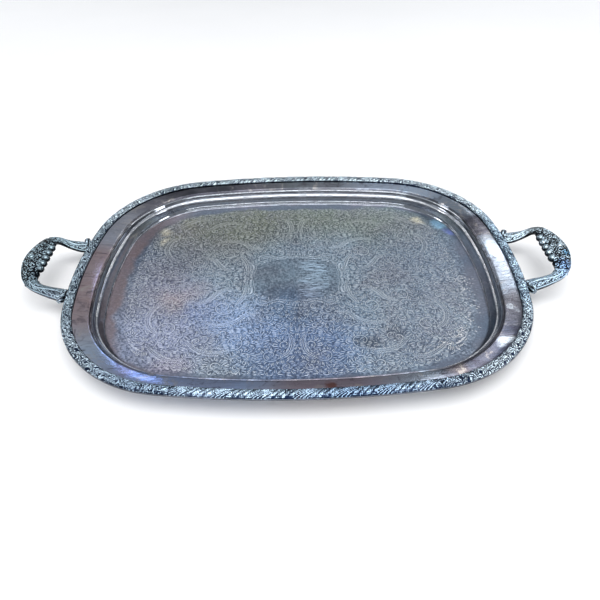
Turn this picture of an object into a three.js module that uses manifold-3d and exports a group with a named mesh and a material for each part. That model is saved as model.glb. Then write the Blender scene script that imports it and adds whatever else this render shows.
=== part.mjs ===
// Oblong two-handled serving tray in silver-plated metal.
// Millimetres, +Z up. The origin is at the middle of the tray's underside, +X points to the right handle
// and +Y to the back long side.
import * as THREE from 'three';
import { mergeVertices } from 'three/addons/utils/BufferGeometryUtils.js';
import Module from 'manifold-3d';

const wasm = await Module();
wasm.setup();

// ---- driving dimensions ----
const HALF_LENGTH = 272.5; // middle to the rim's edge at an end
const HALF_WIDTH = 212; // middle to the rim's edge at a long side
const SIDE_BOW = 1040; // radius of the bowed long sides
const END_BOW = 520; // radius of the bowed ends
const CORNER_RADIUS = 147;
const SHEET = 1.2; // thickness of the stamped sheet
const GAP = 0.3; // clearance between pieces that touch

const RIM_TOP = 26; // height of the flange's upper face at its edge
const SHEET_INSET = 2.7; // the sheet stops this far inside the rim's edge
const BORDER_WIDTH = 12;
const BORDER_HEIGHT = 4.8;
const BORDER_EDGE = 0.7; // height of the border's upright edges
const BORDER_UNDERCUT = 0.6; // the bed stops this far inside the border's outer edge
const BORDER_FULLNESS = 0.8; // a power below 1 makes the dome fuller than a half round
const BORDER_DOME_STEPS = 8;
const LIP_TOP = 23.3; // height of the flange's inner lip
const LIP_INSET_END = 29.5;
const LIP_INSET_SIDE = 25.5;
const CREASE_INSET_END = 42.5; // the foot of the wall, where the field begins
const CREASE_INSET_SIDE = 40;
const FLANGE_FALL = 0.3; // the flange has dropped this much where the border ends
const WALL_CLEARANCE = 0.2; // the wall's underside stays this far above the table

const WIRE_RADIUS = 1.1;
const WIRE_INSET = 1.2;
const WIRE_SIDES = 6;

const ROOT_SPACING = 48.5; // each handle root to the tray's middle line
const FOOT_WIDTH = 16; // along the rim
const FOOT_REACH = 13; // how far the foot goes in under the flange
const FOOT_THICKNESS = 2.9;
const FOOT_RUN_OUT = 5; // how far the foot goes out into the handle's bow
const PAD_MARGIN = 1.5; // from the foot's inner end to the raised pad
const PAD_SHOULDER = 1; // from the foot's sides to the raised pad
const PAD_CLEARANCE = 0.4; // extra room between the pad and the edge wire
const RIVET_RADIUS = 1.6;
const RIVET_HEAD_RADIUS = 3.2;
const RIVET_HEAD_HEIGHT = 1.5;
const RIVET_INSET = 8;
const RIVET_SPACING = 8;
const RIVET_RECESS = 0.2; // the shank stops this far below the flange's face
const RIVET_DOME_STEPS = 4;
const ROUND_SIDES = 10;

// Straight pieces that each stretch of the outline is divided into.
const SIDE_STEPS = 5; // half a long side
const CORNER_STEPS = 11;
const END_STEPS = 4; // half an end

// ---- materials ----
function silver(colour, roughness) {
  return new THREE.MeshStandardMaterial({ color: colour, roughness, metalness: 1 });
}
const panSilver = silver(0x9aa3b4, 0.3);
const borderSilver = silver(0xa9b6c2, 0.35);
const wireSilver = silver(0x5b6068, 0.4);
const handleSilver = silver(0x8d98a3, 0.35);
const rivetSilver = silver(0x7c8288, 0.4);

// ---- outline ----
// One quarter of the eight-arc outline, from the middle of the back side round to the right end.
function quarterOutline(endInset, sideInset) {
  const inset = (endInset + sideInset) / 2;
  const sideRadius = SIDE_BOW - inset;
  const endRadius = END_BOW - inset;
  const cornerRadius = CORNER_RADIUS - inset;
  const sideCentre = new THREE.Vector2(0, HALF_WIDTH - sideInset - sideRadius);
  const endCentre = new THREE.Vector2(HALF_LENGTH - endInset - endRadius, 0);
  // The corner's centre is where both bows, less the corner's radius, meet.
  const toSide = sideRadius - cornerRadius;
  const toEnd = endRadius - cornerRadius;
  const between = endCentre.clone().sub(sideCentre);
  const distance = between.length();
  const along = (toSide ** 2 - toEnd ** 2 + distance ** 2) / (2 * distance);
  const across = Math.sqrt(toSide ** 2 - along ** 2);
  const direction = between.normalize();
  const cornerCentre = sideCentre
    .clone()
    .addScaledVector(direction, along)
    .add(new THREE.Vector2(direction.y, -direction.x).multiplyScalar(across));
  const sideAngle = cornerCentre.clone().sub(sideCentre).angle();
  const endAngle = cornerCentre.clone().sub(endCentre).angle();
  const arcs = [
    [sideCentre, sideRadius, Math.PI / 2, sideAngle, SIDE_STEPS],
    [cornerCentre, cornerRadius, sideAngle, endAngle, CORNER_STEPS],
    [endCentre, endRadius, endAngle, 0, END_STEPS],
  ];
  const points = [];
  for (const [centre, radius, from, to, steps] of arcs) {
    const arc = new THREE.ArcCurve(centre.x, centre.y, radius, from, to, true);
    const samples = arc.getPoints(steps);
    points.push(...(points.length ? samples.slice(1) : samples));
  }
  return points;
}

// The whole outline, clockwise from the middle of the back side, without a repeated point.
function outline(endInset, sideInset = endInset) {
  const quarter = quarterOutline(endInset, sideInset);
  const mirrored = (x, y) => quarter.map((point) => new THREE.Vector2(point.x * x, point.y * y));
  return [
    ...quarter.slice(0, -1),
    ...mirrored(1, -1).reverse().slice(0, -1),
    ...mirrored(-1, -1).slice(0, -1),
    ...mirrored(-1, 1).reverse().slice(0, -1),
  ];
}

// ---- meshes from rings ----
// Joins equally long rings of points into one closed surface. Without a cap, the last ring joins the first.
function ringSurface(rings, closedRing, capped) {
  const count = rings[0].length;
  const positions = rings.flat().flatMap((point) => [point.x, point.y, point.z]);
  const faces = [];
  const strips = capped ? rings.length - 1 : rings.length;
  const columns = closedRing ? count : count - 1;
  for (let ring = 0; ring < strips; ring += 1) {
    const next = (ring + 1) % rings.length;
    for (let column = 0; column < columns; column += 1) {
      const a = ring * count + column;
      const b = ring * count + ((column + 1) % count);
      const c = next * count + ((column + 1) % count);
      const d = next * count + column;
      faces.push(a, b, c, a, c, d);
    }
  }
  if (capped) {
    addFan(positions, faces, rings[0], 0, true);
    addFan(positions, faces, rings[rings.length - 1], (rings.length - 1) * count, false);
  }
  const geometry = new THREE.BufferGeometry();
  geometry.setAttribute('position', new THREE.Float32BufferAttribute(positions, 3));
  geometry.setIndex(faces);
  return geometry;
}

// Closes a ring with triangles round its middle point.
function addFan(positions, faces, ring, first, backwards) {
  const middle = new THREE.Vector3();
  ring.forEach((point) => middle.add(point));
  middle.divideScalar(ring.length);
  const centre = positions.length / 3;
  positions.push(middle.x, middle.y, middle.z);
  ring.forEach((_, index) => {
    const a = first + index;
    const b = first + ((index + 1) % ring.length);
    faces.push(...(backwards ? [b, a, centre] : [a, b, centre]));
  });
}

// Turns a surface inside out when its faces point in.
function facingOut(geometry) {
  const position = geometry.attributes.position;
  const index = geometry.index.array;
  const corner = [new THREE.Vector3(), new THREE.Vector3(), new THREE.Vector3()];
  let volume = 0;
  for (let face = 0; face < index.length; face += 3) {
    corner.forEach((point, side) => point.fromBufferAttribute(position, index[face + side]));
    volume += corner[0].dot(corner[1].clone().cross(corner[2]));
  }
  if (volume < 0) {
    for (let face = 0; face < index.length; face += 3) {
      [index[face + 1], index[face + 2]] = [index[face + 2], index[face + 1]];
    }
  }
  return geometry;
}

// ---- booleans ----
function toSolid(geometry) {
  const bare = new THREE.BufferGeometry();
  bare.setAttribute('position', geometry.attributes.position.clone());
  if (geometry.index) {
    bare.setIndex(geometry.index.clone());
  }
  const merged = mergeVertices(bare, 1e-4);
  return new wasm.Manifold(
    new wasm.Mesh({
      numProp: 3,
      vertProperties: new Float32Array(merged.attributes.position.array),
      triVerts: new Uint32Array(merged.index.array),
    }),
  );
}

function toGeometry(solid) {
  const mesh = solid.getMesh();
  const geometry = new THREE.BufferGeometry();
  geometry.setAttribute('position', new THREE.BufferAttribute(mesh.vertProperties, mesh.numProp));
  geometry.setIndex(new THREE.BufferAttribute(mesh.triVerts, 1));
  return geometry;
}

// An upright cylinder from one height to another.
function post(x, y, low, high, radius) {
  const geometry = new THREE.CylinderGeometry(radius, radius, high - low, ROUND_SIDES);
  geometry.rotateX(Math.PI / 2);
  geometry.translate(x, y, (low + high) / 2);
  return geometry;
}

function block(lowX, highX, lowY, highY, lowZ, highZ) {
  const geometry = new THREE.BoxGeometry(highX - lowX, highY - lowY, highZ - lowZ);
  geometry.translate((lowX + highX) / 2, (lowY + highY) / 2, (lowZ + highZ) / 2);
  return geometry;
}

// ---- stamped pan ----
// The flange's upper face, as a share of the way from its edge to the lip.
const flangeProfile = [
  { share: 0, height: RIM_TOP },
  { share: 0.36, height: RIM_TOP - FLANGE_FALL },
  { share: 0.7, height: LIP_TOP + 0.8 },
  { share: 1, height: LIP_TOP },
];
// The wall's upper face, as a share of the way from the lip to the crease: a fine reed below the lip,
// a cove, a rounded shoulder and a steep wall that sweeps into the field.
const wallProfile = [
  { share: 0.1, height: 22.2 },
  { share: 0.2, height: 22 },
  { share: 0.3, height: 20.6 },
  { share: 0.38, height: 17.6 },
  { share: 0.5, height: 15.6 },
  { share: 0.6, height: 14.6 },
  { share: 0.7, height: 11 },
  { share: 0.82, height: 5.6 },
  { share: 0.92, height: 2.2 },
  { share: 1, height: SHEET },
];

// The profile's points at an end or at a side, as inset and height.
function panProfile(lipInset, creaseInset) {
  const flange = flangeProfile.map(
    ({ share, height }) => new THREE.Vector2(SHEET_INSET + share * (lipInset - SHEET_INSET), height),
  );
  const wall = wallProfile.map(
    ({ share, height }) => new THREE.Vector2(lipInset + share * (creaseInset - lipInset), height),
  );
  return [...flange, ...wall];
}

// The same profile moved down and out by the sheet's thickness. The field's underside lies at zero.
function underside(profile) {
  return profile.map((point, index) => {
    if (index === profile.length - 1) {
      return new THREE.Vector2(point.x - SHEET / 2, 0);
    }
    const before = profile[Math.max(index - 1, 0)];
    const after = profile[index + 1];
    const normal = new THREE.Vector2(after.y - before.y, before.x - after.x).normalize();
    const moved = point.clone().addScaledVector(normal, SHEET);
    return new THREE.Vector2(index ? moved.x : point.x, Math.max(moved.y, WALL_CLEARANCE));
  });
}

function panRings(endProfile, sideProfile) {
  return endProfile.map((point, index) =>
    outline(point.x, sideProfile[index].x).map((spot) => new THREE.Vector3(spot.x, spot.y, point.y)),
  );
}

// The places of the rivets at each handle root, two to a root.
function rivetPlaces() {
  const places = [];
  for (const side of [-1, 1]) {
    for (const root of [-1, 1]) {
      for (const step of [-1, 1]) {
        const y = root * ROOT_SPACING + (step * RIVET_SPACING) / 2;
        places.push({ side, root, step, x: side * (rimEdge(y) - RIVET_INSET), y });
      }
    }
  }
  return places;
}

// How far the rim's edge is from the middle, at a distance along an end.
function rimEdge(y) {
  return HALF_LENGTH - END_BOW + Math.sqrt(END_BOW ** 2 - y ** 2);
}

function trayPan() {
  const endTop = panProfile(LIP_INSET_END, CREASE_INSET_END);
  const sideTop = panProfile(LIP_INSET_SIDE, CREASE_INSET_SIDE);
  const top = panRings(endTop, sideTop).reverse();
  const bottom = panRings(underside(endTop), underside(sideTop));
  let solid = toSolid(facingOut(ringSurface([...top, ...bottom], true, true)));
  for (const { x, y } of rivetPlaces()) {
    solid = solid.subtract(toSolid(post(x, y, LIP_TOP, RIM_TOP + 1, RIVET_RADIUS + GAP)));
  }
  return toGeometry(solid);
}

// ---- applied border ----
// The border's cross-section round a flat bed: a low dome whose outer side overhangs the sheet's edge.
function borderSection() {
  const bed = RIM_TOP + GAP;
  const middle = BORDER_WIDTH / 2;
  const section = [
    new THREE.Vector2(BORDER_WIDTH, bed),
    new THREE.Vector2(BORDER_UNDERCUT, bed),
  ];
  for (let step = 0; step <= BORDER_DOME_STEPS; step += 1) {
    const angle = (Math.PI * step) / BORDER_DOME_STEPS;
    const swell = (BORDER_HEIGHT - BORDER_EDGE) * Math.sin(angle) ** BORDER_FULLNESS;
    section.push(new THREE.Vector2(middle * (1 - Math.cos(angle)), bed + BORDER_EDGE + swell));
  }
  return section;
}

// One length of border, between two points of the outline.
function borderLength(first, last) {
  const section = borderSection();
  const lines = section.map((point) => outline(point.x));
  const count = lines[0].length;
  const rings = [];
  for (let step = first; step <= last; step += 1) {
    const place = ((step % count) + count) % count;
    rings.push(section.map((point, index) => {
      const spot = lines[index][place];
      return new THREE.Vector3(spot.x, spot.y, point.y);
    }));
  }
  shorten(rings, 0, 1);
  shorten(rings, rings.length - 1, rings.length - 2);
  return facingOut(ringSurface(rings, true, true));
}

// Draws an end ring back by half a gap, so that neighbouring lengths don't touch.
function shorten(rings, end, inside) {
  rings[end].forEach((point, index) => {
    const step = rings[inside][index].clone().sub(point);
    point.addScaledVector(step.normalize(), GAP / 2);
  });
}

function borderLengths() {
  const lengths = [];
  const quarter = SIDE_STEPS + CORNER_STEPS + END_STEPS;
  const corners = ['back_right', 'front_right', 'front_left', 'back_left'];
  const starts = [SIDE_STEPS, quarter + END_STEPS, 2 * quarter + SIDE_STEPS, 3 * quarter + END_STEPS];
  corners.forEach((name, index) => {
    lengths.push([`border_corner_${name}`, starts[index], starts[index] + CORNER_STEPS]);
  });
  lengths.push(['border_side_back_right', 0, SIDE_STEPS]);
  lengths.push(['border_side_back_left', -SIDE_STEPS, 0]);
  lengths.push(['border_side_front_right', 2 * quarter - SIDE_STEPS, 2 * quarter]);
  lengths.push(['border_side_front_left', 2 * quarter, 2 * quarter + SIDE_STEPS]);
  lengths.push(['border_end_right', quarter - END_STEPS, quarter + END_STEPS]);
  lengths.push(['border_end_left', 3 * quarter - END_STEPS, 3 * quarter + END_STEPS]);
  return lengths;
}

// ---- edge wire ----
function edgeWire() {
  const centre = RIM_TOP - WIRE_RADIUS;
  const rings = [];
  for (let side = 0; side < WIRE_SIDES; side += 1) {
    const angle = (2 * Math.PI * side) / WIRE_SIDES;
    const height = centre + WIRE_RADIUS * Math.sin(angle);
    const ring = outline(WIRE_INSET + WIRE_RADIUS * Math.cos(angle));
    rings.push(ring.map((spot) => new THREE.Vector3(spot.x, spot.y, height)));
  }
  return facingOut(ringSurface(rings, true, false));
}

// ---- handles ----
// Half of the right handle's outer and inner edges, from the root to the middle of the grip.
const handleEdges = [
  { outer: [271.4, 58], inner: [271.4, 39], height: 20.6, thickness: 8.6 },
  { outer: [283, 56.5], inner: [282, 38.5], height: 22.8, thickness: 9 },
  { outer: [297.5, 53.5], inner: [293.5, 40], height: 27.4, thickness: 8.5 },
  { outer: [311.5, 50], inner: [302.5, 40.5], height: 34.2, thickness: 8.5 },
  { outer: [321.5, 39.5], inner: [304.5, 34.5], height: 38.8, thickness: 9.5 },
  { outer: [329, 20], inner: [302, 17], height: 40.4, thickness: 10 },
  { outer: [332, 0], inner: [301.5, 0], height: 40.6, thickness: 10 },
];
const HANDLE_STEPS = 28;
const HANDLE_SIDES = 12;

// A curve through one edge of the handle, from the front root to the back root.
function handleCurve(edge) {
  const half = handleEdges.map((station) => {
    const [x, y] = station[edge];
    return new THREE.Vector3(x, y, station.height);
  });
  const front = half.map((point) => new THREE.Vector3(point.x, -point.y, point.z));
  return new THREE.CatmullRomCurve3([...front, ...half.slice(0, -1).reverse()]);
}

function handleThickness(share) {
  const fromRoot = (1 - Math.abs(1 - 2 * share)) * (handleEdges.length - 1);
  const station = Math.min(Math.floor(fromRoot), handleEdges.length - 2);
  const near = handleEdges[station].thickness;
  const far = handleEdges[station + 1].thickness;
  return THREE.MathUtils.lerp(near, far, fromRoot - station);
}

// An oval section whose long axis joins the two edges.
function ovalRing(outer, inner, up, sides) {
  const middle = outer.clone().add(inner).divideScalar(2);
  const across = outer.clone().sub(inner).divideScalar(2);
  const ring = [];
  for (let side = 0; side < sides; side += 1) {
    const angle = (2 * Math.PI * (side + 0.5)) / sides;
    ring.push(middle.clone().addScaledVector(across, Math.cos(angle)).addScaledVector(up, Math.sin(angle)));
  }
  return ring;
}

function handleBow() {
  const outerCurve = handleCurve('outer');
  const innerCurve = handleCurve('inner');
  const rings = [];
  for (let step = 0; step <= HANDLE_STEPS; step += 1) {
    const share = step / HANDLE_STEPS;
    const outer = outerCurve.getPoint(share);
    const inner = innerCurve.getPoint(share);
    const travel = outerCurve.getTangent(share).add(innerCurve.getTangent(share)).normalize();
    const up = outer.clone().sub(inner).cross(travel).normalize();
    if (step === 0 || step === HANDLE_STEPS) {
      up.set(0, 0, up.z);
    }
    up.setLength(handleThickness(share) / 2);
    rings.push(ovalRing(outer, inner, up, HANDLE_SIDES));
  }
  return facingOut(ringSurface(rings, true, true));
}

// The small leaf that curls away from a root along the rim.
const leafStations = [
  { x: 275, y: 53, z: 22.5, radius: 3.4 },
  { x: 275.6, y: 57, z: 24, radius: 3.6 },
  { x: 276.4, y: 60.5, z: 25.2, radius: 3 },
  { x: 277.4, y: 63, z: 26, radius: 1.8 },
];
const LEAF_SIDES = 8;

function rootLeaf(root) {
  const curve = new THREE.CatmullRomCurve3(leafStations.map(({ x, y, z }) => new THREE.Vector3(x, root * y, z)));
  const rings = leafStations.map(({ radius }, index) => {
    const share = index / (leafStations.length - 1);
    const middle = curve.getPoint(share);
    const across = curve.getTangent(share).cross(new THREE.Vector3(0, 0, 1)).setLength(radius);
    const up = new THREE.Vector3(0, 0, radius);
    return ovalRing(middle.clone().add(across), middle.clone().sub(across), up, LEAF_SIDES);
  });
  return facingOut(ringSurface(rings, true, true));
}

// The foot under the flange: a plate below the edge wire with a raised pad behind it.
function handleFoot(root) {
  const middle = root * ROOT_SPACING;
  const edge = rimEdge(ROOT_SPACING);
  const wireBottom = RIM_TOP - 2 * WIRE_RADIUS;
  const plateTop = wireBottom - GAP;
  const plateBottom = plateTop - FOOT_THICKNESS;
  const padTop = RIM_TOP - SHEET - FLANGE_FALL - 2 * GAP;
  const padEnd = edge - WIRE_INSET - WIRE_RADIUS - 2 * GAP - PAD_CLEARANCE;
  const low = middle - FOOT_WIDTH / 2;
  const high = middle + FOOT_WIDTH / 2;
  const plate = toSolid(block(edge - FOOT_REACH, edge + FOOT_RUN_OUT, low, high, plateBottom, plateTop));
  const padStart = edge - FOOT_REACH + PAD_MARGIN;
  const padBottom = (plateBottom + plateTop) / 2;
  const pad = toSolid(block(padStart, padEnd, low + PAD_SHOULDER, high - PAD_SHOULDER, padBottom, padTop));
  return plate.add(pad);
}

function handle(side) {
  let solid = toSolid(handleBow());
  for (const root of [-1, 1]) {
    solid = solid.add(handleFoot(root)).add(toSolid(rootLeaf(root)));
  }
  for (const place of rivetPlaces().filter((spot) => spot.side === 1)) {
    solid = solid.subtract(toSolid(post(place.x, place.y, 0, RIM_TOP, RIVET_RADIUS + GAP)));
  }
  const geometry = toGeometry(solid);
  if (side < 0) {
    geometry.rotateZ(Math.PI);
  }
  return geometry;
}

// ---- rivets ----
// A round-headed rivet, head down under the foot, its other end flush with the flange under the border.
function rivet(x, y) {
  const footBottom = RIM_TOP - 2 * WIRE_RADIUS - GAP - FOOT_THICKNESS;
  const headTop = footBottom - GAP;
  const shankTop = RIM_TOP - RIVET_RECESS;
  const profile = [new THREE.Vector2(0, headTop - RIVET_HEAD_HEIGHT)];
  for (let step = 1; step <= RIVET_DOME_STEPS; step += 1) {
    const angle = (Math.PI / 2) * (step / RIVET_DOME_STEPS);
    profile.push(new THREE.Vector2(
      RIVET_HEAD_RADIUS * Math.sin(angle),
      headTop - RIVET_HEAD_HEIGHT * Math.cos(angle),
    ));
  }
  profile.push(new THREE.Vector2(RIVET_RADIUS, headTop));
  profile.push(new THREE.Vector2(RIVET_RADIUS, shankTop));
  profile.push(new THREE.Vector2(0, shankTop));
  const geometry = new THREE.LatheGeometry(profile, ROUND_SIDES);
  geometry.rotateX(Math.PI / 2);
  geometry.translate(x, y, 0);
  return geometry;
}

// ---- assembly ----
const tray = new THREE.Group();

function addPiece(name, geometry, material) {
  geometry.computeVertexNormals();
  const mesh = new THREE.Mesh(geometry, material);
  mesh.name = name;
  tray.add(mesh);
}

addPiece('tray_pan', trayPan(), panSilver);
for (const [name, first, last] of borderLengths()) {
  addPiece(name, borderLength(first, last), borderSilver);
}
addPiece('edge_wire', edgeWire(), wireSilver);
addPiece('handle_right', handle(1), handleSilver);
addPiece('handle_left', handle(-1), handleSilver);
for (const { side, root, step, x, y } of rivetPlaces()) {
  const end = side < 0 ? 'left' : 'right';
  const place = root < 0 ? 'front' : 'back';
  const order = step * root < 0 ? 'inner' : 'outer';
  addPiece(`rivet_${end}_${place}_${order}`, rivet(x, y), rivetSilver);
}

export default tray;
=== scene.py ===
"""Looks of the oblong two-handled serving tray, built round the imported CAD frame.

Shapes are worked out in millimetres and turned into metres when a piece is made. The tray's length runs
along X, its front long side faces -Y and it stands on z = 0.
"""

import math

import bpy
import numpy as np
from mathutils import Matrix, Vector

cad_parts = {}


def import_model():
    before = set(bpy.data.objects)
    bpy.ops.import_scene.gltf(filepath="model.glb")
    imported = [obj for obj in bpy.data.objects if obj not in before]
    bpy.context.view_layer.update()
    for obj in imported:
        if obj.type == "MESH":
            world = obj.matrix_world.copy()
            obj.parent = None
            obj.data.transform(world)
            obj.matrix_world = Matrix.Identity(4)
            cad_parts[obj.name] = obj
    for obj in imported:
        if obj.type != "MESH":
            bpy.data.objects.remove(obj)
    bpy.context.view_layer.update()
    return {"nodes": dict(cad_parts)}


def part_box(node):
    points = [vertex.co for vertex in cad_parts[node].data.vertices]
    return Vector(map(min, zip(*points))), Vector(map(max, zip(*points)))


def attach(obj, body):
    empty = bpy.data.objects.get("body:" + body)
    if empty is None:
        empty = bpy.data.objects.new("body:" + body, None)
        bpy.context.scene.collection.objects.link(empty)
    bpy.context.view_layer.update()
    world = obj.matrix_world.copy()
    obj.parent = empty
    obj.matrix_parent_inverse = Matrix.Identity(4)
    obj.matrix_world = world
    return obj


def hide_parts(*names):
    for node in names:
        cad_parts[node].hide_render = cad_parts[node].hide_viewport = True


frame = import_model()

MM = 0.001
TURN = 2 * math.pi


def box_mm(node):
    """The lowest and highest corner of a CAD node, in millimetres."""
    return [np.array(corner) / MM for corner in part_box(node)]


# ---- driving dimensions, from the frame where it holds them ----
wire_low, wire_high = box_mm("edge_wire")
_, pan_high = box_mm("tray_pan")
border_low, border_high = box_mm("border_end_right")
WIRE_MARGIN = 0.1  # the wire lies this far inside the rim's edge
HALF_LENGTH = wire_high[0] + WIRE_MARGIN
HALF_WIDTH = wire_high[1] + WIRE_MARGIN
SIDE_BOW = 1040  # radius of the bowed long sides
END_BOW = 520
CORNER_RADIUS = 147
SHEET = 1.2
GAP = 0.3  # between two border lengths

RIM_TOP = pan_high[2]
SHEET_INSET = HALF_LENGTH - pan_high[0]
BORDER_WIDTH = 12
BORDER_BED = border_low[2]
BORDER_CREST = border_high[2]
LIP_TOP = RIM_TOP - 2.65
LIP_INSETS = (29.5, 25.5)  # at an end, at a side
CREASE_INSETS = (42.5, 40)
PLAIN_INSETS = (63, 50)  # where the plain band inside the crease gives way to the chasing

WIRE_RADIUS = (wire_high[2] - wire_low[2]) / math.sqrt(3)
WIRE_INSET = WIRE_MARGIN + WIRE_RADIUS


def towards(heading):
    """Directions on the plane."""
    return np.stack([np.cos(heading), np.sin(heading)], -1)


# ---- the eight-arc outline ----
def quarter_arcs(end_inset, side_inset):
    """A quarter's three arcs, as rows of centre x, centre y, radius, first angle and last angle."""
    inset = (end_inset + side_inset) / 2
    side_radius, end_radius, corner_radius = SIDE_BOW - inset, END_BOW - inset, CORNER_RADIUS - inset
    side_centre = np.array([0, HALF_WIDTH - side_inset - side_radius])
    end_centre = np.array([HALF_LENGTH - end_inset - end_radius, 0])
    to_side, to_end = side_radius - corner_radius, end_radius - corner_radius
    between = end_centre - side_centre
    distance = np.hypot(*between)
    along = (to_side**2 - to_end**2 + distance**2) / (2 * distance)
    across = math.sqrt(to_side**2 - along**2)
    direction = between / distance
    corner = side_centre + direction * along + np.array([direction[1], -direction[0]]) * across
    side_angle = math.atan2(*(corner - side_centre)[::-1])
    end_angle = math.atan2(*(corner - end_centre)[::-1])
    return np.array([
        [*side_centre, side_radius, math.pi / 2, side_angle],
        [*corner, corner_radius, side_angle, end_angle],
        [*end_centre, end_radius, end_angle, 0],
    ])


BORDER_MIDDLE = quarter_arcs(BORDER_WIDTH / 2, BORDER_WIDTH / 2)
ARC_LENGTHS = BORDER_MIDDLE[:, 2] * (BORDER_MIDDLE[:, 3] - BORDER_MIDDLE[:, 4])
QUARTER = ARC_LENGTHS.sum()
BREAKS = np.concatenate([[0], np.cumsum(ARC_LENGTHS)]) / QUARTER


def outline(stations, end_inset, side_inset=None):
    """Points of the outline and its outward directions at stations from 0 to 4: the quarter, counted
    clockwise from the middle of the back side, and the share of it."""
    arcs = quarter_arcs(end_inset, end_inset if side_inset is None else side_inset)
    stations = np.asarray(stations, float)
    quarter = np.floor(stations).astype(int) % 4
    share = stations - np.floor(stations)
    share = np.where(quarter % 2 == 1, 1 - share, share)
    arc = np.clip(np.searchsorted(BREAKS, share, side="right") - 1, 0, 2)
    part = (share - BREAKS[arc]) / (BREAKS[arc + 1] - BREAKS[arc])
    angle = arcs[arc, 3] + (arcs[arc, 4] - arcs[arc, 3]) * part
    outward = towards(angle)
    points = arcs[arc, :2] + arcs[arc, 2, None] * outward
    signs = np.stack([np.where(quarter < 2, 1, -1), np.where(quarter % 3 == 0, 1, -1)], -1)
    return points * signs, outward * signs


def outline_ring(stations, height, *insets):
    """The outline as points in space, at one height or at a height for each station."""
    spots, _ = outline(stations, *insets)
    return np.column_stack([spots, np.broadcast_to(height, len(spots))])


# ---- meshes ----
def unit(rows):
    """The same directions with a length of 1."""
    return rows / np.maximum(np.linalg.norm(rows, axis=-1, keepdims=True), 1e-9)


def turns(count):
    """Angles that divide a whole turn into equal parts."""
    return np.arange(count) * TURN / count


def grid_faces(rows, columns, wrap_rows=False):
    """Quads that join closed rows of points, stored row by row."""
    row = np.arange(rows if wrap_rows else rows - 1)[:, None]
    column = np.arange(columns)[None, :]
    next_row, next_column = (row + 1) % rows, (column + 1) % columns
    corners = [row * columns + column, row * columns + next_column,
               next_row * columns + next_column, next_row * columns + column]
    return np.stack(corners, -1).reshape(-1, 4)


def turned_out(points, faces, relief):
    """The same closed body with its faces turned outwards, which makes its volume positive."""
    volume = 0.0
    for group in faces:
        for step in range(1, group.shape[1] - 1):
            a, b, c = (points[group[:, corner]] for corner in (0, step, step + 1))
            volume += np.einsum("ij,ij->i", a, np.cross(b, c)).sum()
    return points, [group[:, ::-1] for group in faces] if volume < 0 else faces, relief


def add_piece(name, body, material, slot, *nodes):
    """Makes a piece that stands for the given CAD nodes. A body is its points, its faces in groups of one
    shape, and its relief at each point, from 0 in the recesses to 1 on the crests."""
    points, faces, relief = turned_out(*body)
    mesh = bpy.data.meshes.new(name)
    mesh.from_pydata((points * MM).tolist(), [], [face for group in faces for face in group.tolist()])
    mesh.attributes.new("relief", "FLOAT", "POINT").data.foreach_set("value", relief.astype(np.float32))
    mesh.shade_smooth()
    mesh.materials.append(material)
    piece = bpy.data.objects.new(name, mesh)
    bpy.context.scene.collection.objects.link(piece)
    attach(piece, "root")
    if nodes:
        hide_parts(*nodes)


def loft_faces(rows, columns):
    """Faces of a row of closed rings, with a fan over each end. The fans' centres are the last two points."""
    first = np.arange(columns)
    after = np.roll(first, -1)
    middle = np.full(columns, rows * columns)
    last_row = (rows - 1) * columns
    return [grid_faces(rows, columns), np.stack([after, first, middle], -1),
            np.stack([first + last_row, after + last_row, middle + 1], -1)]


def capped_loft(rings, relief):
    """The closed body through a row of closed rings. relief is one value, or one for each point."""
    relief = np.broadcast_to(relief, rings.shape[:2])
    points = np.concatenate([rings.reshape(-1, 3), rings[:1].mean(1), rings[-1:].mean(1)])
    relief = np.concatenate([relief.ravel(), [relief[0].mean(), relief[-1].mean()]])
    return points, loft_faces(*rings.shape[:2]), relief


def swept(middle, across, up, wide, high):
    """Rings round a path, given in two directions at each of its places."""
    return middle[:, None] + across[:, None] * wide[..., None] + up[:, None] * high[..., None]


def merged(bodies):
    """Several bodies as one."""
    firsts = np.cumsum([0] + [len(points) for points, _, _ in bodies])
    faces = [group + first for (_, groups, _), first in zip(bodies, firsts) for group in groups]
    points, _, reliefs = zip(*bodies)
    return np.concatenate(points), faces, np.concatenate(reliefs)


def smooth_step(value, low, high):
    share = np.clip((value - low) / (high - low), 0, 1)
    return share * share * (3 - 2 * share)


def spline(knots, count):
    """A smooth Catmull-Rom curve through rows of knots, as count points."""
    knots = np.asarray(knots, float)
    samples = np.linspace(0, len(knots) - 1, count)
    ends = np.concatenate([2 * knots[:1] - knots[1:2], knots, 2 * knots[-1:] - knots[-2:-1]])
    index = np.clip(np.floor(samples).astype(int), 0, len(knots) - 2)
    part = (samples - index)[:, None]
    p0, p1, p2, p3 = (ends[index + step] for step in range(4))
    return 0.5 * (2 * p1 + (p2 - p0) * part + (2 * p0 - 5 * p1 + 4 * p2 - p3) * part**2
                  + (3 * p1 - p0 - 3 * p2 + p3) * part**3)


def waves(x, y, seed, count, longest):
    """Smooth, slow, repeatable unevenness between about -1 and 1 over the plane."""
    random = np.random.default_rng(seed)
    total = 0
    for _ in range(count):
        heading = random.uniform(0, TURN)
        length = longest * random.uniform(0.4, 1.0)
        phase = random.uniform(0, TURN)
        total = total + np.sin((x * math.cos(heading) + y * math.sin(heading)) * TURN / length + phase)
    return total / count


# ---- materials ----
def rgb(red, green, blue):
    """A colour given in everyday 0-255 values, as the linear values that shaders take."""
    def linear(value):
        value /= 255
        return value / 12.92 if value <= 0.04045 else ((value + 0.055) / 1.055) ** 2.4
    return (linear(red), linear(green), linear(blue), 1.0)


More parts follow.
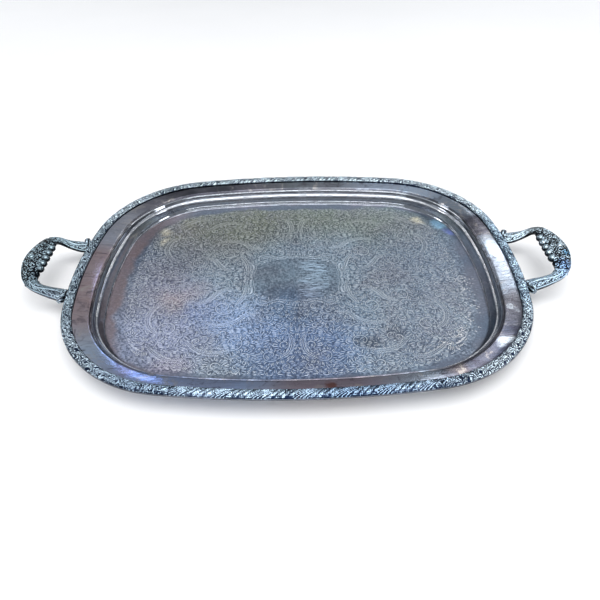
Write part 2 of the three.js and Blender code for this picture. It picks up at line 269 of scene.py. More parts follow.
class Nodes:
    """The nodes of one material or of the sky. Most methods add nodes and give back the last one's output."""

    def __init__(self, tree):
        self.tree = tree

    def add(self, kind, inputs, output=0, **settings):
        """Adds one node, sets or links its inputs and gives back one of its outputs."""
        node = self.tree.nodes.new("ShaderNode" + kind)
        for key, value in settings.items():
            setattr(node, key, value)
        for key, value in inputs.items():
            if isinstance(value, bpy.types.NodeSocket):
                self.tree.links.new(value, node.inputs[key])
            else:
                node.inputs[key].default_value = value
        return node.outputs[output] if node.outputs else None

    def place(self):
        return self.add("TexCoord", {}, "Object")

    def coordinate(self, axis, vector=None):
        return self.add("SeparateXYZ", {0: vector or self.place()}, axis)

    def relief(self):
        return self.add("Attribute", {}, "Fac", attribute_name="relief")

    def noise(self, vector, scale, detail, roughness=0.55, distortion=0.0):
        inputs = {"Vector": vector, "Scale": scale, "Detail": detail, "Roughness": roughness,
                  "Distortion": distortion}
        return self.add("TexNoise", inputs, "Fac")

    def stretched(self, vector, scale, degrees=0):
        """A place for noise that is drawn out into lines."""
        rotation = (0, 0, math.radians(degrees))
        return self.add("Mapping", {"Vector": vector, "Scale": scale, "Rotation": rotation})

    def remap(self, value, low, high, to_low=0.0, to_high=1.0):
        inputs = {"Value": value, "From Min": low, "From Max": high, "To Min": to_low, "To Max": to_high}
        return self.add("MapRange", inputs, "Result", interpolation_type="SMOOTHSTEP")

    def maths(self, operation, first, second):
        return self.add("Math", {0: first, 1: second}, operation=operation)

    def times(self, first, second):
        return self.maths("MULTIPLY", first, second)

    def less(self, first, second):
        return self.maths("SUBTRACT", first, second)

    def vector_maths(self, operation, inputs, output=0):
        return self.add("VectorMath", inputs, output, operation=operation)

    def blend(self, factor, first, second):
        """A number between two others."""
        return self.add("Mix", {0: factor, 2: first, 3: second})

    def mix(self, factor, first, second, blend_type="MIX"):
        """A colour between two others, or the first one multiplied by the second."""
        return self.add("Mix", {0: factor, 6: first, 7: second}, 2, data_type="RGBA", blend_type=blend_type)

    def spot(self, vector, x, y, inner, outer):
        """1 within inner of a place on the tray and 0 beyond outer, in millimetres."""
        flat = self.vector_maths("MULTIPLY", {0: vector, 1: (1, 1, 0)})
        distance = self.vector_maths("DISTANCE", {0: flat, 1: (x * MM, y * MM, 0)}, "Value")
        return self.remap(distance, inner * MM, outer * MM, 1.0, 0.0)

    def patches(self, colour, vector, table, blend_type="MIX"):
        """Lays rows of x, y, inner radius, outer radius, strength and colour over a colour."""
        for x, y, inner, outer, strength, tint in table:
            share = self.times(self.spot(vector, x, y, inner, outer), strength)
            colour = self.mix(share, colour, rgb(*tint), blend_type)
        return colour

    def uneven_place(self, amount, scale):
        """The place on the object, pushed about by noise, so that patches have ragged edges."""
        place = self.place()
        wobble = self.add("TexNoise", {"Vector": place, "Scale": scale, "Detail": 3.0}, "Color")
        centred = self.vector_maths("SUBTRACT", {0: wobble, 1: (0.5, 0.5, 0.5)})
        scaled = self.vector_maths("SCALE", {0: centred, "Scale": amount})
        return self.vector_maths("ADD", {0: place, 1: scaled})

    def bump(self, height, strength, distance, normal=None):
        inputs = {"Height": height, "Strength": strength, "Distance": distance}
        return self.add("Bump", inputs | ({"Normal": normal} if normal is not None else {}), "Normal")

    def surface(self, inputs):
        self.add("OutputMaterial", {"Surface": self.add("BsdfPrincipled", inputs)})

    def metal(self, colour, rough, normal):
        self.surface({"Base Color": colour, "Metallic": 1.0, "Roughness": rough, "Normal": normal})


def new_material(name):
    material = bpy.data.materials.new(name)
    material.use_nodes = True
    material.node_tree.nodes.clear()
    return material, Nodes(material.node_tree)


# Patches on the pan, partly tarnished silver and partly painted reflections, such as the lilac and blue
# towards the front and the olive at the back: x, y, inner and outer radius in millimetres, strength and
# colour.
FIELD_TARNISH_AND_REFLECTIONS = [
    (-150, -85, 30, 110, 0.8, (178, 184, 216)),
    (-165, 5, 10, 60, 0.45, (196, 180, 206)),
    (-154, -34, 2, 34, 0.6, (206, 184, 176)),
    (-128, -22, 2, 26, 0.4, (200, 176, 180)),
    (-118, -62, 8, 34, 0.6, (150, 170, 216)),
    (-60, -85, 20, 80, 0.75, (170, 202, 250)),
    (10, -120, 20, 110, 0.8, (124, 156, 208)),
    (-8, -50, 12, 56, 0.75, (112, 142, 178)),
    (-28, 6, 6, 56, 0.25, (120, 142, 158)),
    (-190, 60, 30, 100, 0.8, (120, 128, 146)),
    (0, -165, 40, 90, 0.6, (112, 132, 168)),
    (-100, 140, 50, 130, 0.85, (134, 136, 108)),
    (20, 165, 30, 110, 0.8, (142, 150, 122)),
    (130, 140, 30, 120, 0.8, (142, 152, 134)),
    (-165, 120, 10, 60, 0.6, (150, 146, 130)),
    (170, 20, 30, 130, 0.75, (122, 138, 158)),
    (150, -120, 20, 90, 0.7, (126, 142, 164)),
    (60, -60, 10, 60, 0.5, (126, 148, 172)),
    (-205, -40, 6, 50, 0.6, (148, 146, 160)),
    (-140, -160, 8, 40, 0.5, (196, 176, 194)),
    (112, -98, 2, 18, 0.45, (70, 76, 88)),
    (76, -111, 3, 16, 0.5, (66, 70, 82)),
    (87, -111, 3, 15, 0.5, (66, 70, 82)),
    (150, -40, 4, 30, 0.4, (98, 108, 122)),
    (-30, -22, 3, 24, 0.4, (96, 112, 132)),
]
# Painted reflections: pale gold and blue gleams where the back corners of the field turn up.
PAINTED_CORNER_GLEAMS = [
    (-186, 112, 3, 15, 0.9, (255, 246, 214)),
    (-180, 92, 1, 9, 0.7, (255, 246, 220)),
    (176, 120, 3, 15, 0.9, (255, 248, 218)),
    (206, 112, 3, 16, 0.95, (176, 226, 255)),
    (216, 94, 2, 12, 0.8, (150, 170, 240)),
]
# Painted reflections and highlights on the flange, with some tarnish: dark patches where little is reflected,
# and bright spots and a blue streak where lamps are reflected.
FLANGE_TARNISH_AND_REFLECTIONS = [
    (-255, -30, 50, 120, 0.9, (168, 144, 142)),
    (-240, 110, 20, 60, 0.6, (170, 168, 170)),
    (-200, 165, 20, 70, 0.9, (92, 88, 94)),
    (-110, 192, 60, 115, 0.97, (46, 48, 54)),
    (20, 200, 40, 110, 0.8, (100, 102, 102)),
    (225, 130, 20, 60, 0.8, (118, 128, 138)),
    (249, 80, 26, 36, 0.98, (40, 42, 56)),
    (246, -98, 20, 46, 0.8, (108, 102, 106)),
    (204, -155, 44, 84, 1.0, (42, 54, 76)),
    (32, -195, 20, 90, 0.8, (150, 122, 134)),
    (-120, -190, 40, 130, 0.7, (150, 172, 222)),
    (-178, -166, 3, 20, 0.9, (200, 210, 255)),
    (165, -176, 3, 18, 0.9, (92, 78, 78)),
    (251, 46, 4, 22, 0.8, (104, 110, 114)),
    (251, -34, 4, 24, 0.5, (140, 150, 158)),
    (240, -90, 2, 7, 0.85, (226, 238, 248)),
    (217, -141, 3, 11, 0.85, (206, 218, 228)),
]
# The brown spot on the front flange.
RUST = [(32, -195, 3, 8, 0.85, (120, 76, 66))]

# Heights over which the field turns into the wall, and the wall into the flange.
FIELD_ENDS = (2.1, 3.0)
FLANGE_BEGINS = (20.5, 22.5)

# Painted glints along the right end of the chasing, where the strokes' crests are painted white and made
# smoother: x, y, inner and outer radius.
PAINTED_GLINTS = [
    (214, -12, 6, 12),
    (213, -36, 6, 14),
    (209, -60, 8, 16),
    (201, -84, 9, 18),
    (186, -104, 9, 18),
    (166, -120, 6, 16),
]

# Painted highlight and shade lines along the wall: dark by the reeds below the lip and bright just under
# them, dark in the cove, bright on the rounded shoulder, dark on the steep wall and at the crease's foot.
# From and to height, softness, strength and colour.
WALL_HIGHLIGHT_AND_SHADE_LINES = [
    (21.6, 22.9, 0.5, 0.8, (46, 50, 62)),
    (20.4, 21.0, 0.3, 0.6, (236, 240, 244)),
    (17.4, 19.4, 0.6, 0.65, (62, 66, 76)),
    (14.9, 15.6, 0.3, 0.8, (250, 252, 255)),
    (11.5, 13.6, 0.6, 0.6, (70, 74, 84)),
    (2.1, 2.8, 0.3, 0.75, (48, 50, 60)),
]

# Darker or coloured patches on the border and the handles, multiplied in: painted shade where less light is
# reflected, and painted reflections such as the blue on the right handle's grip.
BORDER_SHADE_PATCHES = [
    (-60, -205, 90, 200, 0.8, (206, 220, 236)),
    (90, -205, 30, 110, 0.8, (200, 216, 236)),
    (-60, 205, 120, 240, 0.8, (208, 212, 212)),
    (265, 0, 60, 130, 0.8, (206, 222, 236)),
    (-265, -20, 70, 150, 0.85, (176, 184, 190)),
    (-190, -175, 40, 110, 0.7, (200, 204, 210)),
]
HANDLE_SHADE_AND_REFLECTION_PATCHES = [
    (326, -12, 3, 12, 0.75, (140, 214, 255)),
    (318, -38, 4, 18, 0.6, (150, 196, 255)),
    (-310, 0, 30, 70, 0.7, (176, 186, 186)),
    (-295, -46, 16, 34, 0.75, (150, 156, 160)),
    (-295, 46, 16, 34, 0.5, (190, 198, 200)),
    (295, -46, 16, 34, 0.5, (190, 204, 216)),
    (-318, 36, 4, 16, 0.7, (112, 92, 84)),
    (308, 46, 3, 12, 0.6, (120, 104, 96)),
]


def chased_area(nodes, place):
    """1 where the field is chased and 0 on the plain band round it: a rounded oblong."""
    terms = []
    for axis, half in (("X", HALF_LENGTH - PLAIN_INSETS[0]), ("Y", HALF_WIDTH - PLAIN_INSETS[1])):
        share = nodes.maths("DIVIDE", nodes.maths("ABSOLUTE", nodes.coordinate(axis, place), 0.0), half * MM)
        terms.append(nodes.maths("POWER", share, 3.6))
    return nodes.remap(nodes.maths("ADD", *terms), 1.0, 1.2, 1.0, 0.0)


def tarnish_and_painted_light(nodes, place, ragged, on_field, on_flange):
    """Colour of the pan: tarnished and painted-reflection patches on the field and the flange, painted gleams
    at the back corners, and painted highlight and shade lines along the wall between them.
    """
    left = nodes.remap(nodes.coordinate("X"), -0.21, -0.13, 1.0, 0.0)
    band = nodes.mix(left, rgb(100, 112, 132), rgb(156, 132, 128))
    field = nodes.patches(rgb(164, 186, 204), ragged, FIELD_TARNISH_AND_REFLECTIONS)
    field = nodes.mix(nodes.times(nodes.less(1.0, chased_area(nodes, ragged)), 0.8), field, band)
    field = nodes.patches(field, ragged, PAINTED_CORNER_GLEAMS)
    flange = nodes.patches(rgb(172, 188, 206), ragged, FLANGE_TARNISH_AND_REFLECTIONS)
    colour = nodes.mix(on_flange, nodes.mix(on_field, rgb(150, 157, 166), field), flange)
    height = nodes.coordinate("Z")
    broken = nodes.remap(nodes.noise(place, 62.0, 3.0, 0.6), 0.36, 0.56, 0.35, 1.0)
    for low, high, soft, strength, tint in WALL_HIGHLIGHT_AND_SHADE_LINES:
        line = nodes.times(nodes.remap(height, (low - soft) * MM, low * MM),
                           nodes.remap(height, high * MM, (high + soft) * MM, 1.0, 0.0))
        colour = nodes.mix(nodes.times(nodes.times(line, broken), strength), colour, rgb(*tint))
    return colour


def stroke_tones(nodes, colour, place, ragged):
    """Chased strokes are bright on their crests and dark at their feet. Where the painted glints are, their
    crests are painted white as a highlight. Gives how much they glint, too.
    """
    cut = nodes.relief()
    colour = nodes.mix(nodes.remap(cut, 0.0, 0.3, 0.74, 0.0), colour, rgb(48, 58, 74))
    colour = nodes.mix(nodes.remap(cut, 0.25, 0.85, 0.0, 0.87), colour, rgb(246, 252, 255))
    shine = None
    for x, y, inner, outer in PAINTED_GLINTS:
        glint = nodes.times(nodes.spot(ragged, x, y, inner, outer), nodes.remap(cut, 0.3, 0.6))
        glint = nodes.times(glint, nodes.remap(nodes.noise(place, 95.0, 2.0), 0.42, 0.5))
        colour = nodes.mix(glint, colour, rgb(255, 255, 255))
        shine = nodes.maths("MAXIMUM", shine, glint) if shine else glint
    return colour, shine


def sheet_tones(nodes, colour, place, ragged, on_field, on_flange):
    """The sheet itself: matting between the strokes, mottles on the flange and streaks where it is smooth."""
    matting = nodes.noise(place, 430.0, 3.0, 0.6)
    bare = nodes.times(nodes.spot(ragged, -26, 4, 30, 44), 0.2)
    matted = nodes.remap(chased_area(nodes, ragged), 0.0, 1.0, 0.3, 1.0)
    matted = nodes.times(nodes.times(matted, nodes.less(1.0, bare)), on_field)
    smooth = nodes.less(1.0, on_field)
    mottle = nodes.noise(ragged, 55.0, 4.0, 0.65, 0.8)
    streaks = nodes.noise(nodes.stretched(place, (14, 190, 14)), 1.0, 4.0, 0.7)
    layers = [  # pattern, its range, the shares at the range's ends, where and colour
        (matting, 0.40, 0.56, 0.7, 0.0, matted, rgb(70, 80, 98)),
        (matting, 0.58, 0.68, 0.0, 0.5, matted, rgb(226, 234, 244)),
        (mottle, 0.3, 0.46, 0.6, 0.0, on_flange, rgb(66, 62, 74)),
        (mottle, 0.54, 0.7, 0.0, 0.5, on_flange, rgb(182, 176, 170)),
        (streaks, 0.5, 0.75, 0.0, 0.16, smooth, rgb(206, 206, 204)),
        (streaks, 0.28, 0.48, 0.3, 0.0, smooth, rgb(78, 76, 84)),
    ]
    for pattern, low, high, from_share, to_share, where, tint in layers:
        share = nodes.times(nodes.remap(pattern, low, high, from_share, to_share), where)
        colour = nodes.mix(share, colour, tint)
    return colour


def pan_material(name, chased=False):
    """Silver plate with tarnished patches, painted reflections and painted highlight and shade lines, for the
    sheet or for the strokes chased in it; the strokes also get painted glints.
    """
    material, nodes = new_material(name)
    place = nodes.place()
    ragged = nodes.uneven_place(0.05, 18.0)
    height = nodes.coordinate("Z")
    on_field = nodes.remap(height, FIELD_ENDS[0] * MM, FIELD_ENDS[1] * MM, 1.0, 0.0)
    on_flange = nodes.remap(height, FLANGE_BEGINS[0] * MM, FLANGE_BEGINS[1] * MM)
    colour = tarnish_and_painted_light(nodes, place, ragged, on_field, on_flange)
    clouds = nodes.noise(ragged, 14.0, 5.0, 0.6, 0.6)
    colour = nodes.mix(nodes.times(nodes.remap(clouds, 0.35, 0.72), 0.5), colour, rgb(144, 142, 152))
    fine = nodes.noise(place, 220.0, 4.0, 0.7)
    colour = nodes.mix(nodes.times(nodes.remap(fine, 0.60, 0.72), 0.35), colour, rgb(112, 112, 124))
    colour = nodes.patches(colour, nodes.uneven_place(0.01, 120.0), RUST)
    wall_rough = nodes.remap(clouds, 0.35, 0.7, 0.04, 0.09)
    flange_rough = nodes.remap(clouds, 0.35, 0.7, 0.07, 0.17)
    field_rough = nodes.remap(fine, 0.3, 0.75, *((0.42, 0.6) if chased else (0.30, 0.46)))
    rough = nodes.blend(on_field, nodes.blend(on_flange, wall_rough, flange_rough), field_rough)
    if chased:
        colour, shine = stroke_tones(nodes, colour, place, ragged)
        rough = nodes.blend(shine, rough, 0.24)
    else:
        colour = sheet_tones(nodes, colour, place, ragged, on_field, on_flange)
    scratches = nodes.noise(nodes.stretched(place, (18, 420, 60), 8), 1.0, 3.0, 0.6)
    normal = nodes.bump(scratches, 0.12, 0.0004, nodes.bump(fine, 0.10, 0.0006))
    nodes.metal(colour, rough, normal)
    return material


def relief_silver(name, crest, recess, rough_low, rough_high, grain, patches=(), low=0.35, high=0.95,
                  speckle=0.35):
    """Cast or die-stamped silver whose recesses have gone dark and whose crests are rubbed bright."""
    material, nodes = new_material(name)
    place = nodes.place()
    clouds = nodes.noise(place, 30.0, 4.0, 0.6, 0.4)
    fine = nodes.noise(place, grain, 4.0, 0.65)
    worn = nodes.maths("ADD", nodes.relief(), nodes.times(nodes.less(clouds, 0.5), 0.5))
    worn = nodes.maths("ADD", worn, nodes.times(nodes.less(fine, 0.5), speckle))
    colour = nodes.mix(nodes.remap(worn, low, high), rgb(*recess), rgb(*crest))
    colour = nodes.mix(nodes.remap(clouds, 0.5, 0.75, 0.0, 0.4), colour, rgb(150, 158, 178))
    # Painted shade and painted reflections, patch by patch, multiplied in.
    colour = nodes.patches(colour, nodes.uneven_place(0.03, 30.0), patches, "MULTIPLY")
    rough = nodes.remap(worn, 0.1, 0.8, rough_high, rough_low)
    nodes.metal(colour, rough, nodes.bump(fine, 0.25, 0.0004))
    return material


def floor_material():
    material, nodes = new_material("floor")
    colour = nodes.mix(nodes.noise(nodes.place(), 3.0, 3.0), rgb(244, 244, 244), rgb(250, 250, 250))
    nodes.surface({"Base Color": colour, "Roughness": 0.9})
    return material


# ---- pan ----
BAND_RISE = 0.8  # how far the plain band climbs towards the crease
BAND_SHARE = 0.93  # of the way from the middle to the crease, where the band begins
# Upper faces as (share of the way, height): the flange from its edge to the lip, then the wall from the
# lip to the crease, with a fine reed, a cove, a rounded shoulder and a steep wall that sweeps into the field.
FLANGE_PROFILE = [(0, RIM_TOP), (0.18, RIM_TOP - 0.08), (0.36, RIM_TOP - 0.3), (0.55, RIM_TOP - 0.85),
                  (0.75, RIM_TOP - 1.6), (0.9, RIM_TOP - 2.2), (1, LIP_TOP)]
WALL_PROFILE = [(0.03, 23.0), (0.06, 22.6), (0.085, 22.0), (0.11, 21.9), (0.15, 22.4),
                (0.19, 22.2), (0.225, 21.4), (0.27, 20.5), (0.31, 19.3), (0.36, 17.6), (0.42, 16.2),
                (0.48, 15.4), (0.53, 15.45), (0.58, 15.1), (0.62, 14), (0.655, 12.5), (0.72, 9.6),
                (0.78, 6.9), (0.84, 4.8), (0.89, 3.5), (0.93, 2.8), (0.965, 2.35), (1, SHEET + BAND_RISE)]
FIELD_SWELL = 0.09
FLANGE_UNEVEN = 0.05
PAN_STEPS = 420
BAND_RINGS = 8
FIELD_RINGS = 22


def pan_profile():
    """Rows of end inset, side inset and height, from the flange's edge to the crease."""
    edge = np.array([SHEET_INSET, SHEET_INSET])
    lip, crease = np.array(LIP_INSETS), np.array(CREASE_INSETS)
    rows = [[*(edge + (lip - edge) * share), height] for share, height in FLANGE_PROFILE]
    rows += [[*(lip + (crease - lip) * share), height] for share, height in WALL_PROFILE]
    return spline(rows, 3 * len(rows) - 2)


def field_height(x, y, share):
    """The field isn't quite flat: a low swell that dies out at the crease, where the band climbs."""
    climb = np.clip((share - BAND_SHARE) / (1 - BAND_SHARE), 0, 1)
    swell = FIELD_SWELL * waves(x, y, 4, 5, 120) * smooth_step(1 - share, 0.0, 0.25)
    return swell + BAND_RISE * climb**2


def tray_pan(material):
    """The sheet, ring by ring: out over its top from the middle of the field, and back underneath."""
    stations = np.arange(PAN_STEPS) * 4 / PAN_STEPS
    profile = pan_profile()
    shares = np.concatenate([np.linspace(1, BAND_SHARE, BAND_RINGS)[1:],
                             np.linspace(BAND_SHARE, 0.03, FIELD_RINGS)[1:]])
    top = []
    for *insets, height in profile:
        ring = outline_ring(stations, height, *insets)
        on_flange = smooth_step(height, LIP_TOP - 0.5, LIP_TOP)
        ring[:, 2] += FLANGE_UNEVEN * waves(ring[:, 0], ring[:, 1], 9, 6, 90) * on_flange
        top.append(ring)
    crease = top[-1]
    for share in shares:
        ring = crease * [share, share, 1]
        ring[:, 2] = SHEET + field_height(ring[:, 0], ring[:, 1], share)
        top.append(ring)
    slope = np.gradient(profile, axis=0)
    normal = unit(np.stack([slope[:, 2], -slope[:, :2].mean(1)], -1))
    under = profile + SHEET * normal[:, [0, 0, 1]]
    under[0, :2] = profile[0, :2]
    under[:, 2] = np.maximum(under[:, 2], 0)
    bottom = [outline_ring(stations, height, *insets) for *insets, height in under[:-1]]
    foot = outline_ring(stations, 0, *CREASE_INSETS)
    bottom += [foot * [share, share, 1] for share in [1, *shares]]
    body = capped_loft(np.array(top[::-1] + bottom), 1)
    add_piece("tray_pan_sheet", body, material, "pan_silver", "tray_pan")


# ---- applied border ----
PERIODS = 40  # groups of gadroons round the whole border
PERIOD = 4 * QUARTER / PERIODS
LOBE_PITCH = 6.3
GROUP = 4 * LOBE_PITCH  # four gadroons
SLANT = 0.95  # how far a lobe runs back along the rim for each millimetre inwards
BORDER_STEP = 0.45  # between points along the border
BORDER_ACROSS = 28
BORDER_EDGE = 0.7  # height of its thin edges
CLOSE_SHARE = 0.72  # how far the close leaf work takes the lobes' place


def gadroons(along, across, run):
    """Slanting lobes, each with a shallow cut down it and fine notches across its outer end."""
    lobe = (run / LOBE_PITCH) % 1
    relief = np.sqrt(np.clip(1 - (2 * lobe - 1) ** 2, 0, 1)) ** 0.6
    relief *= 0.7 + 0.3 * smooth_step(across, 0.02, 0.35)
    relief *= 0.86 + 0.14 * np.sin(np.floor(along / LOBE_PITCH) * 2.4)
    relief *= 1 - 0.32 * np.exp(-(((lobe - 0.68) / 0.07) ** 2)) * smooth_step(across, 0.3, 0.6)
    notches = (0.5 + 0.5 * np.cos(across * TURN * 6.5)) * (1 - smooth_step(across, 0.1, 0.4))
    return relief * (1 - 0.3 * notches)


def leaf_between(along, across, run):
    """A leaf of four wavy blades with two buds, between two groups of gadroons."""
    x = (run - GROUP) - (PERIOD - GROUP) / 2
    y = (across - 0.5) * BORDER_WIDTH
    wave = 1.1 * np.sin(0.55 * y + np.floor(along / LOBE_PITCH))
    blade = 0.5 + 0.5 * np.cos((x + 0.7 * y) * TURN / 3.7 + wave)
    bud = np.exp(-((x - 1.5) ** 2 + (y - 2.6) ** 2) / 4.5) + np.exp(-((x + 4.2) ** 2 + (y + 2.4) ** 2) / 3.5)
    return np.clip(0.05 + 0.9 * blade + 0.45 * bud, 0, 1)


def close_leaves(along, width):
    """Small, close leaf work, as runs round the corners and ends."""
    u = along + 0.9 * width + 1.6 * np.sin(0.43 * along + 0.5 * width + 1.3 * np.sin(0.11 * along))
    v = width - 0.6 * along + 1.5 * np.sin(0.31 * along - 0.6 * width)
    cells = np.sin(u * TURN / 3.7) * np.sin(v * TURN / 4.5 + 0.8 * np.sin(1.1 * along))
    return smooth_step(cells + 0.3 * np.sin(u * TURN / 2.3 + v), -0.36, 0.34)


def border_relief(along, across):
    """Relief from 0 to 1 at a distance along the border and a share from its outer to its inner edge."""
    width = across * BORDER_WIDTH
    run = (along + SLANT * (width - BORDER_WIDTH / 2)) % PERIOD
    in_group = smooth_step(run, 0, 0.5) * (1 - smooth_step(run, GROUP - 0.5, GROUP))
    relief = gadroons(along, across, run) * in_group + leaf_between(along, across, run) * (1 - in_group)
    share = (along / QUARTER) % 1
    share = np.where(np.floor(along / QUARTER).astype(int) % 2 == 1, 1 - share, share)
    close = CLOSE_SHARE * smooth_step(share, BREAKS[1] * 0.8, BREAKS[1] * 1.15)
    relief = relief * (1 - close) + close_leaves(along, width) * close
    # Worn, granular casting: no two lobes are quite alike.
    grain = np.sin(2.7 * along + 3.1 * width + 2 * np.sin(0.71 * along))
    grain = grain * np.sin(1.6 * along - 2.5 * width + 1.3 * np.sin(0.37 * along + 0.6 * width))
    return np.clip(relief * (0.8 + 0.34 * grain), 0, 1)


def border_length(name, first, last, material):
    """The border between two stations of the outline, in the place of one CAD length."""
    start, end = first * QUARTER + GAP / 2, last * QUARTER - GAP / 2
    along = np.linspace(start, end, int((end - start) / BORDER_STEP) + 1)
    across = np.linspace(0, 1, BORDER_ACROSS)
    relief = border_relief(along[:, None], across[None])
    dome = np.clip(np.sin(math.pi * across) ** 0.55, 0, 1)
    rise = BORDER_EDGE + (BORDER_CREST - BORDER_BED - BORDER_EDGE) * dome * (0.3 + 0.7 * relief)
    rise[:, [0, -1]] = 0.5
    stations = along / QUARTER
    insets = across * BORDER_WIDTH + 0.15 * np.cos(math.pi * across)
    sections = [outline_ring(stations, BORDER_BED + height, inset) for inset, height in zip(insets, rise.T)]
    sections += [outline_ring(stations, BORDER_BED, share * BORDER_WIDTH) for share in (0.97, 0.03)]
    relief = np.column_stack([relief, np.zeros((len(along), 2))])
    add_piece(name + "_cast", capped_loft(np.stack(sections, 1), relief), material, "border_silver", name)


def border(material):
    side, end = BREAKS[1], BREAKS[2]
    names = ["side_back_right", "corner_back_right", "end_right", "corner_front_right", "side_front_right",
             "side_front_left", "corner_front_left", "end_left", "corner_back_left", "side_back_left"]
    stations = [0, side, end, 2 - end, 2 - side, 2, 2 + side, 2 + end, 4 - end, 4 - side, 4]
    for name, first, last in zip(names, stations, stations[1:]):
        border_length("border_" + name, first, last, material)


# ---- edge wire ----
WIRE_STEPS = 560
WIRE_SIDES = 16


def edge_wire(material):
    stations = np.arange(WIRE_STEPS) * 4 / WIRE_STEPS
    centre = (wire_low[2] + wire_high[2]) / 2
    uneven = 0.05 * np.sin(stations * TURN * 23) * np.sin(stations * TURN * 3.5)
    rings = []
    for angle in turns(WIRE_SIDES):
        spots, outward = outline(stations, WIRE_INSET + WIRE_RADIUS * math.cos(angle))
        spots = spots + outward * uneven[:, None]
        rings.append(np.column_stack([spots, np.full(len(spots), centre + WIRE_RADIUS * math.sin(angle))]))
    relief = np.repeat(0.5 + 0.5 * np.sin(turns(WIRE_SIDES)), WIRE_STEPS)
    body = np.concatenate(rings), [grid_faces(WIRE_SIDES, WIRE_STEPS, wrap_rows=True)], relief
    add_piece("edge_wire_round", body, material, "wire_silver", "edge_wire")


# ---- handles ----
# Half of the right handle: outer x and y, inner x and y, height and thickness, from the root to the grip.
HANDLE_STATIONS = [
    (271.4, 58, 271.4, 39, 20.6, 8.6),
    (283, 56.5, 282, 38.5, 22.8, 9),
    (297.5, 53.5, 293.5, 40, 27.4, 8.5),
    (311.5, 50, 302.5, 40.5, 34.2, 8.5),
    (321.5, 39.5, 304.5, 34.5, 38.8, 9.5),
    (329, 20, 302, 17, 40.4, 10),
    (332, 0, 301.5, 0, 40.6, 10),
]
GRIP_X, GRIP_Z = 301.6, 40.6  # inner edge and height of the grip
GRIP_ENDS = (24, 30)  # y over which the grip turns into an arm
HANDLE_STEPS = 300
HANDLE_SIDES = 64
RIB_SINK = 0.35  # share of its radius that a rib stands in the surface
UPRIGHT = np.array([0.0, 0.0, 1.0])


def bulged(value, power):
    """A sine or cosine that bulges out, for rounded oblongs."""
    return np.sign(value) * np.abs(value) ** power


def ridge(points, normals, radii, sides):
    """A cast rib along a path on a surface, bright along its back."""
    radii = np.broadcast_to(radii, len(points))[:, None]
    across = unit(np.cross(normals, unit(np.gradient(points, axis=0))))
    angle = turns(sides)
    rings = swept(points, across, normals, radii * np.cos(angle), radii * (np.sin(angle) - RIB_SINK))
    return capped_loft(rings, 0.5 + 0.5 * np.sin(angle))


def tapered(count, thick, thin, peak):
    """Radii that swell from thin to thick at a share of the way and run out to a point."""
    share = np.linspace(0, 1, count)
    swell = np.where(share < peak, share / peak, 1 - (share - peak) / (1 - peak))
    return thin + (thick - thin) * np.sin(np.clip(swell, 0, 1) * math.pi / 2) ** 0.8


def knob(point, normal, radius, height, sides, rows, bright=1.0):
    """A bead that sits on a surface."""
    angle = np.linspace(0.05, math.pi - 0.05, rows)
    side = unit(np.cross(normal, [0.3, 0.5, 0.81]))
    circle = towards(turns(sides)) @ np.array([side, np.cross(normal, side)])
    rings = point + circle * (radius * np.sin(angle))[:, None, None]
    rings = rings + normal * (radius * height * np.cos(angle))[:, None, None]
    return capped_loft(rings, bright * (0.5 + 0.5 * np.cos(angle))[:, None])


class HandleSkin:
    """The right handle's smooth body. A place on its upper face is a distance in millimetres from the middle
    of the grip, towards the back root, and a share across it, from -1 at the inner edge to 1 at the outer."""

    def __init__(self):
        half = np.array(HANDLE_STATIONS)
        whole = np.concatenate([half * [1, -1, 1, -1, 1, 1], half[-2::-1]])
        curve = spline(whole, HANDLE_STEPS)
        outer, inner, self.thickness = curve[:, [0, 1, 4]], curve[:, [2, 3, 4]], curve[:, 5]
        # Along the grip the body's inner edge stands back, because the beads make the edge there.
        stand_back = 3.6 * (1 - smooth_step(np.abs(inner[:, 1]), *GRIP_ENDS))
        inner = inner + unit(outer - inner) * stand_back[:, None]
        self.middle, self.reach = (outer + inner) / 2, (outer - inner) / 2
        up = unit(np.cross(self.reach, np.gradient(self.middle, axis=0)))
        self.up = up * np.sign(up[:, 2:])
        self.half_length = np.linalg.norm(np.diff(self.middle, axis=0), axis=1).sum() / 2
        self.distances = np.linspace(-self.half_length, self.half_length, HANDLE_STEPS)

    def look_up(self, rows, distance):
        return np.stack([np.interp(distance, self.distances, row) for row in rows.T], -1)

    def half_width(self, distance):
        return np.interp(distance, self.distances, np.linalg.norm(self.reach, axis=1))

    def place(self, distance, across):
        """Points on the upper face and the directions straight out of it."""
        distance, across = np.broadcast_arrays(distance, across)
        middle, reach, up = (self.look_up(rows, distance) for rows in (self.middle, self.reach, self.up))
        rise = np.interp(distance, self.distances, self.thickness) / 2 * np.clip(1 - across**2, 0, 1) ** 0.4
        lean = np.clip(across, -1, 1) * np.abs(across) ** 2.5
        upward = np.sqrt(1 - np.clip(np.abs(lean), 0, 0.98) ** 2)
        points = middle + reach * across[..., None] + up * rise[..., None]
        return points, up * upward[..., None] + unit(reach) * lean[..., None]

    def rib(self, distance, across, radii, sides=8):
        return ridge(*self.place(distance, across), radii, sides)

    def body(self):
        angle = turns(HANDLE_SIDES) + math.pi / HANDLE_SIDES
        across, rise = np.cos(angle), np.sin(angle)
        hollow = 0.5 + 0.5 * np.cos(self.distances[:, None] * TURN / 4.2 + 3 * across**2)
        hollow = hollow * smooth_step(rise, 0.1, 0.5)
        high = self.thickness[:, None] / 2 * bulged(rise, 0.8) - 0.5 * hollow
        relief = 0.16 - 0.14 * hollow + 0.25 * smooth_step(np.abs(across), 0.9, 1.0)
        return capped_loft(swept(self.middle, self.reach, self.up, across, high), relief)


